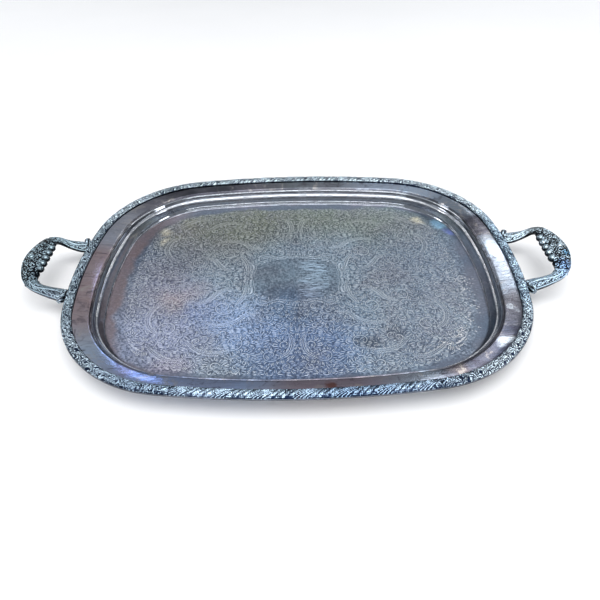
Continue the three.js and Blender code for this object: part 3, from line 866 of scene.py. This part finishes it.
def spiral(skin, distance, lane, radius, heading, turn, thick):
    """A rib that winds in round a place on the handle's face, given in mm along it and across it."""
    share = np.linspace(0, 1, max(int(abs(turn) * 2.4), 8))
    angle = heading + turn * share
    reach = radius * (1 - 0.78 * share)
    along = distance + reach * np.cos(angle)
    across = (lane + reach * np.sin(angle)) / skin.half_width(along)
    return skin.rib(along, np.clip(across, -0.97, 0.97), tapered(len(share), thick, 0.35, 0.25))


# Rounds of close ornament, the largest first: radius, tries, turn of the curl round it and size of its grain.
CLOSE_ROUNDS = [(3.2, 260, 6.4, 0.9), (2.0, 500, 4.6, None), (1.15, 1100, None, None),
                (0.75, 1500, None, None)]


def close_ornament(skin, low, high, seed, kept=()):
    """Curls, commas and grains, set close together over the handle's face from low to high mm along it."""
    random = np.random.default_rng(seed)
    parts, placed = [], list(kept)
    for radius, tries, turn, grain in CLOSE_ROUNDS:
        for _ in range(tries):
            distance = random.uniform(low, high)
            half = skin.half_width(distance)
            lane = random.uniform(-0.84, 0.84) * half
            heading, hand = random.uniform(0, TURN), random.choice((-1, 1))
            if any(math.hypot(distance - x, lane - y) < radius + reach for x, y, reach in placed):
                continue
            placed.append((distance, lane, radius * 0.92))
            if turn:
                parts.append(spiral(skin, distance, lane, radius, heading, hand * turn, 0.28 * radius + 0.1))
            if grain or not turn:
                size = grain or radius * random.uniform(0.75, 1.0)
                parts.append(knob(*skin.place(distance, lane / half), size, 0.8, 9, 6))
    return parts


GRIP_BEADS = 5
BEAD_PITCH = 10.4
BEAD_RADIUS = 4.8
COLLAR_RADIUS = 4.1
BOSS_ACROSS = 0.30
BOSS_RING = 5.6


def grip_ornament(skin):
    """The grip: round beads along the inner edge, a smooth boss, and close ornament round it."""
    parts = []
    turn = np.linspace(0.5, TURN - 0.5, 30) + math.pi / 2
    for index in range(GRIP_BEADS):
        y = (index - (GRIP_BEADS - 1) / 2) * BEAD_PITCH
        centre = np.array([GRIP_X + BEAD_RADIUS, y, GRIP_Z])
        parts.append(knob(centre, UPRIGHT, BEAD_RADIUS, 0.95, 28, 18, 0.86))
        parts.append(knob(centre + [6.6, -0.06 * y, 2.0], UPRIGHT, 2.6, 0.8, 16, 10))
        collar = centre + np.column_stack([np.full(30, 3.2), COLLAR_RADIUS * towards(turn)])
        parts.append(ridge(collar, np.tile([-1.0, 0, 0], (30, 1)), 0.7, 8))
    point, normal = skin.place(0, BOSS_ACROSS)
    parts.append(knob(point - normal, normal, 4.6, 0.6, 28, 14))
    half = skin.half_width(0)
    ring = np.linspace(0, TURN, 40)
    parts.append(skin.rib(BOSS_RING * np.cos(ring), BOSS_ACROSS + BOSS_RING / half * np.sin(ring), 0.6))
    return parts + close_ornament(skin, -36, 36, 5, [(0, BOSS_ACROSS * half, 6.0)])


# Small curled ends that stand out from an arm's edges: distance along, side of the arm and radius.
ARM_CURLS = [(41, -0.98, 2.6), (45.5, -0.98, 2.1), (58, -0.98, 2.2), (38, 0.98, 2.2), (66, 0.98, 1.9)]
VEIN_PITCH = 4.2
VEIN_LENGTH = 11.5


def arm_ornament(skin, side):
    """One arm: a long acanthus leaf whose veins part from a winding rib, with grains between them."""
    distance = side * np.linspace(32, skin.half_length - 3, 44)
    parts = [skin.rib(distance, 0.22 * np.sin(np.linspace(0, 7, 44)), tapered(44, 1.5, 0.6, 0.5), 10)]
    share = np.linspace(0, 1, 14)
    for index, start in enumerate(np.arange(34, skin.half_length - 8, VEIN_PITCH)):
        for edge in (-1, 1):
            reach = VEIN_LENGTH + 2 * math.sin(index * 1.7)
            distance = side * (start + 2.3 * (edge > 0) + reach * share - 2.5 * share**2)
            across = edge * (0.1 + (0.7 + 0.08 * math.sin(index)) * share**0.8)
            parts.append(skin.rib(distance, across, tapered(14, 0.85, 0.25, 0.55)))
    parts.append(spiral(skin, side * 46, -3.0, 3.6, 1.4, 6.6 * side, 1.2))
    for distance, edge, size in ARM_CURLS:
        point, normal = skin.place(side * distance, edge)
        parts.append(knob(point - 1.2 * normal, UPRIGHT, size, 0.8, 18, 12, 0.8))
    return parts + close_ornament(skin, *sorted((side * 35, side * (skin.half_length - 4))), 8 + side)


def rim_ribs(skin):
    """The smooth ribs that edge the handle: right round outside, and along the arms inside."""
    end = skin.half_length - 3
    parts = [skin.rib(np.linspace(-end, end, 160), 0.94, 0.8, 10)]
    for side in (-1, 1):
        parts.append(skin.rib(side * np.linspace(38, end, 60), -0.94, tapered(60, 0.9, 0.5, 0.5)))
    return parts


# The small leaf that curls away from a root along the rim: x, y, z and radius.
LEAF_STATIONS = [
    (273.4, 50, 21.4, 3.0),
    (274.4, 54, 22.2, 3.8),
    (275.5, 57.4, 23.2, 4.3),
    (276.6, 60.2, 24.1, 3.9),
    (277.4, 62.2, 24.8, 2.9),
]
LEAF_STEPS = 60
LEAF_SIDES = 28


def root_leaf(root):
    curve = spline(np.array(LEAF_STATIONS) * [1, root, 1, 1], LEAF_STEPS)
    samples = np.linspace(0, len(LEAF_STATIONS) - 1, LEAF_STEPS)
    middle = curve[:, :3]
    travel = unit(np.gradient(middle, axis=0))
    across = unit(np.cross(travel, UPRIGHT))
    tip = np.clip((samples[-1] - samples) / 0.7, 0, 1)
    start = np.clip(samples / 0.4, 0, 1)
    radius = curve[:, 3] * (np.sqrt(1 - (1 - tip) ** 2) * np.sqrt(1 - (1 - start) ** 2) + 0.02)
    angle = turns(LEAF_SIDES)
    ribs = 0.5 + 0.5 * np.cos(angle * 6 + samples[:, None] * 0.9)
    swell = radius[:, None] * (0.8 + 0.2 * ribs)
    rings = swept(middle, across, np.cross(across, travel), swell * np.cos(angle), swell * np.sin(angle))
    return capped_loft(rings, 0.1 + 0.9 * ribs)


FOOT_X = 264.5
FOOT_Y = 48.5
FOOT_LOW, FOOT_HIGH = 20.6, 23.5
FOOT_SECTION = [(0.55, 0.0), (0.82, 0.12), (0.96, 0.35), (1, 0.6), (1, 0.8), (0.93, 1)]  # width and rise


def foot_plate(root):
    """The tongue under the flange: a rounded plate with soft edges."""
    turn = turns(48)
    rings = []
    for width, rise in FOOT_SECTION:
        x = FOOT_X + (10.5 * width + 1.6) * bulged(np.cos(turn), 0.6)
        y = root * FOOT_Y + 7.8 * width * bulged(np.sin(turn), 0.75)
        rings.append(np.column_stack([x, y, np.full(48, FOOT_LOW + (FOOT_HIGH - FOOT_LOW) * rise)]))
    return capped_loft(np.array(rings), 0.4)


def handle(name, turned, material):
    """A handle: the bow, its cast ornament, the two curled leaves and the two feet."""
    turn = [-1, -1, 1] if turned else [1, 1, 1]
    skin = HandleSkin()
    parts = {
        "bow": [skin.body()],
        "ornament": grip_ornament(skin) + arm_ornament(skin, -1) + arm_ornament(skin, 1) + rim_ribs(skin),
        "leaves": [root_leaf(-1), root_leaf(1)],
        "feet": [foot_plate(-1), foot_plate(1)],
    }
    for part, bodies in parts.items():
        points, faces, relief = merged([turned_out(*body) for body in bodies])
        add_piece(f"{name}_{part}", (points * turn, faces, relief), material, "handle_silver", name)


# ---- rivets ----
HEAD_HEIGHT = 1.5
HEAD_RIM = 0.15
SHANK_RADIUS = 1.6
RIVET_SIDES = 24


def rivet(name, material):
    """A domed rivet head with its shank, where the CAD rivet is."""
    low, high = box_mm(name)
    middle = (low + high) / 2
    head_radius = (high[0] - low[0]) / 2
    head_top = low[2] + HEAD_HEIGHT + HEAD_RIM
    profile = [(0.02, low[2])]
    for angle in np.linspace(0, math.pi / 2, 9)[1:]:
        profile.append((head_radius * math.sin(angle), low[2] + HEAD_HEIGHT * (1 - math.cos(angle))))
    profile += [(head_radius * 0.97, head_top), (SHANK_RADIUS, head_top), (SHANK_RADIUS, high[2]),
                (0.02, high[2])]
    rings = np.array([np.column_stack([middle[:2] + radius * towards(turns(RIVET_SIDES)),
                                       np.full(RIVET_SIDES, z)]) for radius, z in profile])
    add_piece(name + "_head", capped_loft(rings, 0.6), material, "rivet_silver", name)


# ---- chasing in the field ----
CHASE_RISE = 0.3
CHASE_FOOT = 0.35  # the darkened foot of a stroke, on each side
CARTOUCHE = (54, 40)  # half the size of the blank shield in the middle
GLINT_STROKES = 16  # strokes at each painted glint
HATCH_GROUPS, HATCH_PITCH = 2600, 1.55
COMMAS = 4200  # tries for each length of short stroke
SHIELD_STROKES = 150
FULL_SWELL = 0.7  # a share of the way out at which the field's swell is still whole
CELL = 0.5  # of the map of what is taken
MAP_SIZE = np.array([480, 380])
ANYWHERE = 1.0  # a stroke that may cross others as it likes
FIELD_HALF = (218, 160)


class Chasing:
    """The strokes of one quarter of the field, each a list of points with a width. A map of what is taken
    keeps them off one another."""

    def __init__(self):
        self.strokes = []
        self.random = np.random.default_rng(21)
        x, y = np.indices(MAP_SIZE) * CELL
        self.taken = (x / CARTOUCHE[0]) ** 2.6 + (y / CARTOUCHE[1]) ** 2.6 < 1
        limit = outline(np.linspace(0, 1, 200), *PLAIN_INSETS)[0][::-1]
        self.limit_angle = np.arctan2(limit[:, 1], limit[:, 0])
        self.limit_reach = np.hypot(*limit.T)

    def inside(self, points):
        limit = np.interp(np.arctan2(points[:, 1], points[:, 0]), self.limit_angle, self.limit_reach)
        return np.all((points > -0.2).all(1) & (np.hypot(*points.T) < limit))

    def cells(self, points, width):
        """Indices of the map's cells that a stroke covers."""
        length = np.hypot(*np.diff(points, axis=0).T).sum()
        samples = np.linspace(0, 1, max(int(length / CELL), 2))
        shares = np.linspace(0, 1, len(points))
        fine = np.stack([np.interp(samples, shares, row) for row in points.T], -1)
        around = [(0, 0), (width, 0), (-width, 0), (0, width), (0, -width)]
        spots = np.concatenate([fine + offset for offset in around])
        return tuple(np.clip(np.floor(spots / CELL).astype(int), 0, MAP_SIZE - 1).T)

    def add(self, points, width, allowed):
        """Adds a stroke if it lies inside the field and no more than a share of it crosses what is there."""
        if not self.inside(points):
            return False
        at = self.cells(points, width * 0.55)
        if self.taken[at].mean() > allowed:
            return False
        self.taken[at] = True
        self.strokes.append((points, width))
        return True

    def curl(self, centre, heading, radius, turn, width, allowed, steps):
        """A spiral stroke that winds in round a centre."""
        share = np.linspace(0, 1, steps)[:, None]
        spiral_in = radius * (1 - 0.8 * share) * towards(heading + share[:, 0] * turn)
        return self.add(centre + spiral_in, width, allowed)

    def comma(self, start, heading, length, bend, width, allowed):
        """A short bent stroke that begins at a point."""
        angle = heading + bend * np.linspace(0, 1, 6)
        step = towards(angle) * length / 5
        self.add(start + np.concatenate([[[0, 0]], np.cumsum(step[:-1], axis=0)]), width, allowed)

    def leaves(self, path, size, width, pitch):
        """Leaf strokes on both sides of a stem, longest in its middle."""
        run = np.concatenate([[0], np.cumsum(np.hypot(*np.diff(path, axis=0).T))])
        for place in np.arange(pitch, run[-1] - 1, pitch):
            at, ahead = np.stack([np.interp([place, place + 1], run, row) for row in path.T], -1)
            heading = math.atan2(*(ahead - at)[::-1])
            share = min(place / run[-1] * 1.15, 1)
            length = size * (0.35 + 0.65 * math.sin(math.pi * share)) * (0.8 + 0.2 * math.sin(place))
            for hand in (-1, 1):
                start = at + 0.9 * towards(heading + hand * 1.2)
                self.comma(start, heading + hand * 0.95, length, -hand * 0.7, width, 0.35)


# Large scrolls of a quarter: centre, first angle, radius and turn; then the stem's way out.
SCROLLS = [
    ((88, 53), 3.4, 14, -8.6, [(74, 49), (66, 36), (62, 20), (64, 6)]),
    ((36, 72), 5.6, 12, 8.0, [(45, 64), (60, 66), (72, 78), (92, 84), (112, 76)]),
    ((128, 36), 2.2, 13, 8.4, [(120, 47), (108, 40), (98, 26), (82, 14)]),
    ((150, 88), 0.6, 13, -8.2, [(161, 95), (172, 84), (176, 66), (168, 48), (154, 40)]),
    ((72, 112), 1.2, 12, 8.0, [(76, 123), (92, 128), (112, 122), (126, 108)]),
    ((30, 132), 2.6, 10, -7.4, [(21, 137), (10, 128), (6, 112), (10, 96)]),
    ((190, 30), 5.4, 11, 7.8, [(197, 21), (208, 24), (212, 42), (206, 62), (196, 74)]),
    ((118, 140), 5.9, 9, -7.2, [(126, 136), (142, 136), (158, 126), (170, 112)]),
    ((156, 10), 3.0, 7, -6.4, [(149, 11), (140, 8), (132, 14)]),
    ((192, 100), 1.4, 7, 6.2, [(193, 107), (184, 118), (172, 124)]),
]


def large_scrolls(chasing):
    for centre, heading, radius, turn, stem in SCROLLS:
        hand = math.copysign(1, turn)
        chasing.curl(centre, heading, radius, turn, 0.95, ANYWHERE, 46)
        path = spline([centre + radius * towards(heading), *stem], 30)
        chasing.add(path, 0.75, ANYWHERE)
        chasing.leaves(path, 7.0, 0.9, 2.3)
        for place in np.arange(0.3, abs(turn) * 0.55, 0.34):
            angle = heading + hand * place
            reach = radius * (1 - 0.8 * place / abs(turn)) + 1.2
            chasing.comma(centre + reach * towards(angle), angle + hand * 0.75, 6.0, -hand * 0.8, 0.9, 0.3)


def cartouche_edge(chasing):
    """The shield's scrolled edge: a side scroll, a crest and a fringe of short strokes."""
    side = spline([(54, 1), (54.5, 10), (52, 21), (54, 30), (61, 33), (64, 27)], 26)
    crest = spline([(1, 41), (12, 43.5), (20, 40.5), (30, 42), (38, 47), (46, 44), (45, 38)], 30)
    for path in (side, crest):
        chasing.add(path, 0.9, ANYWHERE)
    for path, hand in ((side[:18], -1), (crest, 1)):
        for point, after in zip(path[:-1], path[1:]):
            heading = math.atan2(*(after - point)[::-1])
            start = point + 1.4 * towards(heading + hand * 1.57)
            chasing.comma(start, heading + hand * 1.15, 5.0, -hand * 0.6, 0.85, 0.4)


def small_curls(chasing, radius, tries):
    """Curls fringed with short strokes."""
    random = chasing.random
    for _ in range(tries):
        centre = random.uniform(0, FIELD_HALF)
        heading, hand = random.uniform(0, TURN), random.choice((-1, 1))
        turn = random.uniform(4.2, 6.6)
        if not chasing.curl(centre, heading, radius, hand * turn, 0.85, 0.04, int(turn * 2.6)):
            continue
        for place in np.arange(0.2, 3.6, 0.62 * 3.6 / radius):
            angle = heading + hand * place
            start = centre + (radius + 0.7) * towards(angle)
            chasing.comma(start, angle + hand * 0.8, radius * 1.1, -hand * 0.9, 0.8, 0.2)


def small_fill(chasing):
    """Fills what is left with curls, hatched groups and commas, the larger ones first."""
    random = chasing.random
    small_curls(chasing, 7.0, 160)
    small_curls(chasing, 5.2, 260)
    for _ in range(HATCH_GROUPS):
        place = random.uniform(0, FIELD_HALF)
        heading, bend = random.uniform(0, TURN), random.uniform(-1.2, 1.2)
        length, count = random.uniform(5, 10), random.integers(4, 8)
        for index in range(count):
            start = place + index * HATCH_PITCH * towards(heading + math.pi / 2)
            chasing.comma(start, heading + 0.08 * index, length * (1 - 0.1 * index), bend, 0.8, 0.10)
    small_curls(chasing, 3.6, 700)
    for length in (5.4, 4.0, 2.8):
        for _ in range(COMMAS):
            start = random.uniform(-0.2, (219, 161))
            chasing.comma(start, random.uniform(0, TURN), length, random.uniform(-1.6, 1.6), 0.75, 0.08)


def ribbon(points, width, bright):
    """A stroke as a low ridge with a pointed tip at each end and a thin foot, where its relief is 0."""
    across = unit(np.gradient(points, axis=0))[:, ::-1] * [-1, 1]
    share = np.clip(np.linspace(0, 1, len(points)), 0.02, 0.98)
    half = 0.5 * width * np.sqrt(np.sin(math.pi * share) * 0.9 + 0.1)
    base = SHEET + 0.02 + field_height(points[:, 0], points[:, 1], FULL_SWELL)
    section = ((half + CHASE_FOOT, 0.0, 0.0), (half, 0.45, 0.3), (0 * half, 1.0, bright),
               (-half, 0.45, 0.3), (-half - CHASE_FOOT, 0.0, 0.0))
    rows = np.stack([np.column_stack([points + across * reach[:, None], base + CHASE_RISE * rise])
                     for reach, rise, _ in section], 1)
    tips = np.column_stack([points[[0, -1]], base[[0, -1]]])
    count = len(points) - 2
    relief = [shade for _, _, shade in section] * count + [0.1, 0.1]
    return np.concatenate([rows[1:-1].reshape(-1, 3), tips]), loft_faces(count, len(section)), relief


def stroke_body(strokes, seed, top=1.0):
    """One body of many strokes, whose crests vary in brightness up to top."""
    random = np.random.default_rng(seed)
    return merged([ribbon(path, width, top * random.uniform(0.3, 1.0) ** 0.5) for path, width in strokes])


def shield_strokes(random):
    """Nearly level strokes over the right half of the blank shield, up to a fine upright line."""
    line = np.stack([-3.0 + 0.3 * np.sin(np.arange(24)), np.linspace(-28, 30, 24)], -1)
    strokes = [(line, 0.6)]
    for _ in range(SHIELD_STROKES):
        y = random.uniform(-36, 36)
        x = random.uniform(0, 34 - 0.01 * y * y) + np.linspace(0, random.uniform(6, 18), 7)
        strokes.append((np.stack([x, y + 0.12 * np.sin(x * 0.4 + y)], -1), random.uniform(0.4, 0.7)))
    return strokes


def glinting_strokes(random):
    """Broader strokes along the right end of the chasing, painted white there as glints."""
    strokes = []
    for x, y, inner, outer in PAINTED_GLINTS:
        for _ in range(GLINT_STROKES):
            angle, reach = random.uniform(0, TURN), outer * random.uniform(0, 1) ** 0.7
            share = np.linspace(0, random.uniform(2.5, 5), 6)
            start = np.array([x - 3, y]) + reach * towards(angle)
            bend = random.uniform(-0.16, 0.16) * share
            heading = random.uniform(-0.5, 0.5) + bend
            strokes.append((start + share[:, None] * towards(heading), random.uniform(1.0, 1.5)))
    return strokes


def field_chasing(material):
    chasing = Chasing()
    cartouche_edge(chasing)
    large_scrolls(chasing)
    small_fill(chasing)
    points, faces, relief = stroke_body(chasing.strokes, 3)
    for place, signs in {"back_right": (1, 1), "back_left": (-1, 1), "front_right": (1, -1),
                         "front_left": (-1, -1)}.items():
        mirrored = points * [*signs, 1]
        mirrored[:, 2] += field_height(mirrored[:, 0], mirrored[:, 1], FULL_SWELL)
        mirrored[:, 2] -= field_height(points[:, 0], points[:, 1], FULL_SWELL)
        add_piece(f"chasing_{place}", (mirrored, faces, relief), material, "pan_silver")
    random = np.random.default_rng(33)
    add_piece("chasing_shield", stroke_body(shield_strokes(random), 4, 0.22), material, "pan_silver")
    add_piece("chasing_glinting", stroke_body(glinting_strokes(random), 6), material, "pan_silver")


# ---- camera, lights and floor ----
CAMERA_TARGET = Vector((3.75, -71.6, 27.5))  # on the plane of the rim, mm
CAMERA_DISTANCE = 617.4
CAMERA_ELEVATION = 41.78  # degrees
CAMERA_YAW = -0.03
CAMERA_ROLL = -1.18
LENS = 32.4  # mm on a 36 mm sensor
FLOOR_REACH = 30.0  # metres


def camera():
    data = bpy.data.cameras.new("camera")
    data.lens = LENS
    data.sensor_width = 36
    data.clip_start = 0.01
    piece = bpy.data.objects.new("camera", data)
    bpy.context.scene.collection.objects.link(piece)
    matrix = Matrix.Translation(CAMERA_TARGET * MM)
    for degrees, axis in ((CAMERA_YAW, "Z"), (90 - CAMERA_ELEVATION, "X"), (CAMERA_ROLL, "Z")):
        matrix = matrix @ Matrix.Rotation(math.radians(degrees), 4, axis)
    piece.matrix_world = matrix @ Matrix.Translation((0, 0, CAMERA_DISTANCE * MM))
    bpy.context.scene.camera = piece


def area_light(name, place, target, size, power, colour=(1, 1, 1)):
    data = bpy.data.lights.new(name, "AREA")
    data.shape = "RECTANGLE"
    data.size, data.size_y = size
    data.energy = power
    data.color = colour
    light = bpy.data.objects.new(name, data)
    bpy.context.scene.collection.objects.link(light)
    light.location = place
    light.visible_camera = False
    light.rotation_euler = (Vector(target) - Vector(place)).to_track_quat("-Z", "Y").to_euler()


def world():
    """A plain sky, bright overhead and in front, dim low down at the back."""
    background = bpy.data.worlds.new("studio")
    bpy.context.scene.world = background
    background.use_nodes = True
    nodes = Nodes(background.node_tree)
    shader = nodes.tree.nodes["Background"]
    direction = nodes.add("TexCoord", {}, "Generated")
    rise = nodes.remap(nodes.coordinate("Z", direction), 0.25, 0.85)
    facing = nodes.remap(nodes.coordinate("Y", direction), -0.6, 0.6)
    horizon = nodes.mix(facing, (0.42, 0.44, 0.46, 1), (0.14, 0.15, 0.15, 1))
    nodes.tree.links.new(nodes.mix(rise, horizon, (0.66, 0.68, 0.72, 1)), shader.inputs["Color"])
    shader.inputs["Strength"].default_value = 1.0


# Studio lights, in metres and watts: name, place, target, size, power and colour.
LIGHTS = [
    ("top_panel", (0.1, -0.5, 1.9), (0, -0.1, 0), (2.2, 1.6), 30),
    ("flange_panel", (0.49, 0.89, 0.79), (0.25, 0, 0), (0.16, 0.09), 0.21),
    ("right_panel", (1.4, 1.7, 0.95), (-0.2, 0, 0), (0.5, 0.35), 1.6),
    ("left_panel", (-1.4, 1.7, 0.95), (0.2, 0, 0), (0.5, 0.35), 1.6),
    ("right_glint", (1.57, -0.68, 0.50), (-0.19, 0.14, 0), (0.44, 0.3), 3.6),
    ("left_glint", (-1.69, -0.05, 0.62), (0.2, 0.12, 0), (0.34, 0.3), 3.0),
    ("front_left_spark", (-0.299, 0.332, 0.342), (-0.188, -0.166, 0), (0.04, 0.02), 0.01, (0.5, 0.62, 1)),
]
# Long thin lights round the tray, whose mirror images draw fine bright lines along the wall: x, y, z, length.
TUBES = [
    ("back_right_tube", 1.6, 1.6, 0.9, 1.7),
    ("back_left_tube", -1.6, 1.6, 0.9, 1.7),
    ("right_tube", 2.2, 0.2, 0.95, 2.2),
    ("left_tube", -2.2, 0.2, 0.95, 2.2),
    ("front_tube", 0, -2.2, 1.05, 2.6),
    ("front_low_tube", 0, -2.3, 0.42, 2.6),
    ("front_high_tube", 0, -1.7, 1.7, 2.4),
]
TUBE_WIDTH = 0.1
TUBE_POWER = 1.4  # watts for each metre


def studio():
    world()
    bpy.context.scene.view_settings.view_transform = "Standard"
    for light in LIGHTS:
        area_light(*light)
    for name, x, y, z, length in TUBES:
        area_light(name, (x, y, z), (0, 0, 0), (length, TUBE_WIDTH), length * TUBE_POWER)
    mesh = bpy.data.meshes.new("floor")
    corners = [(x * FLOOR_REACH, y * FLOOR_REACH, 0) for x, y in ((-1, -1), (1, -1), (1, 1), (-1, 1))]
    mesh.from_pydata(corners, [], [(0, 1, 2, 3)])
    mesh.materials.append(floor_material())
    floor = bpy.data.objects.new("floor", mesh)
    bpy.context.scene.collection.objects.link(floor)


# ---- assembly ----
camera()
studio()
pan_silver = pan_material("pan_silver")
chased_silver = pan_material("chased_silver", True)
border_silver = relief_silver("border_silver", (224, 240, 248), (32, 44, 66), 0.18, 0.42, 520.0,
                              BORDER_SHADE_PATCHES, 0.36, 0.74, 1.2)
handle_silver = relief_silver("handle_silver", (202, 222, 234), (24, 30, 38), 0.17, 0.42, 620.0,
                              HANDLE_SHADE_AND_REFLECTION_PATCHES, 0.42, 1.0, 1.0)
wire_silver = relief_silver("wire_silver", (120, 126, 136), (60, 60, 64), 0.3, 0.5, 600.0)
rivet_silver = relief_silver("rivet_silver", (150, 150, 152), (80, 78, 76), 0.3, 0.5, 700.0)

tray_pan(pan_silver)
field_chasing(chased_silver)
border(border_silver)
edge_wire(wire_silver)
handle("handle_right", False, handle_silver)
handle("handle_left", True, handle_silver)
for node in sorted(frame["nodes"]):
    if node.startswith("rivet_"):
        rivet(node, rivet_silver)
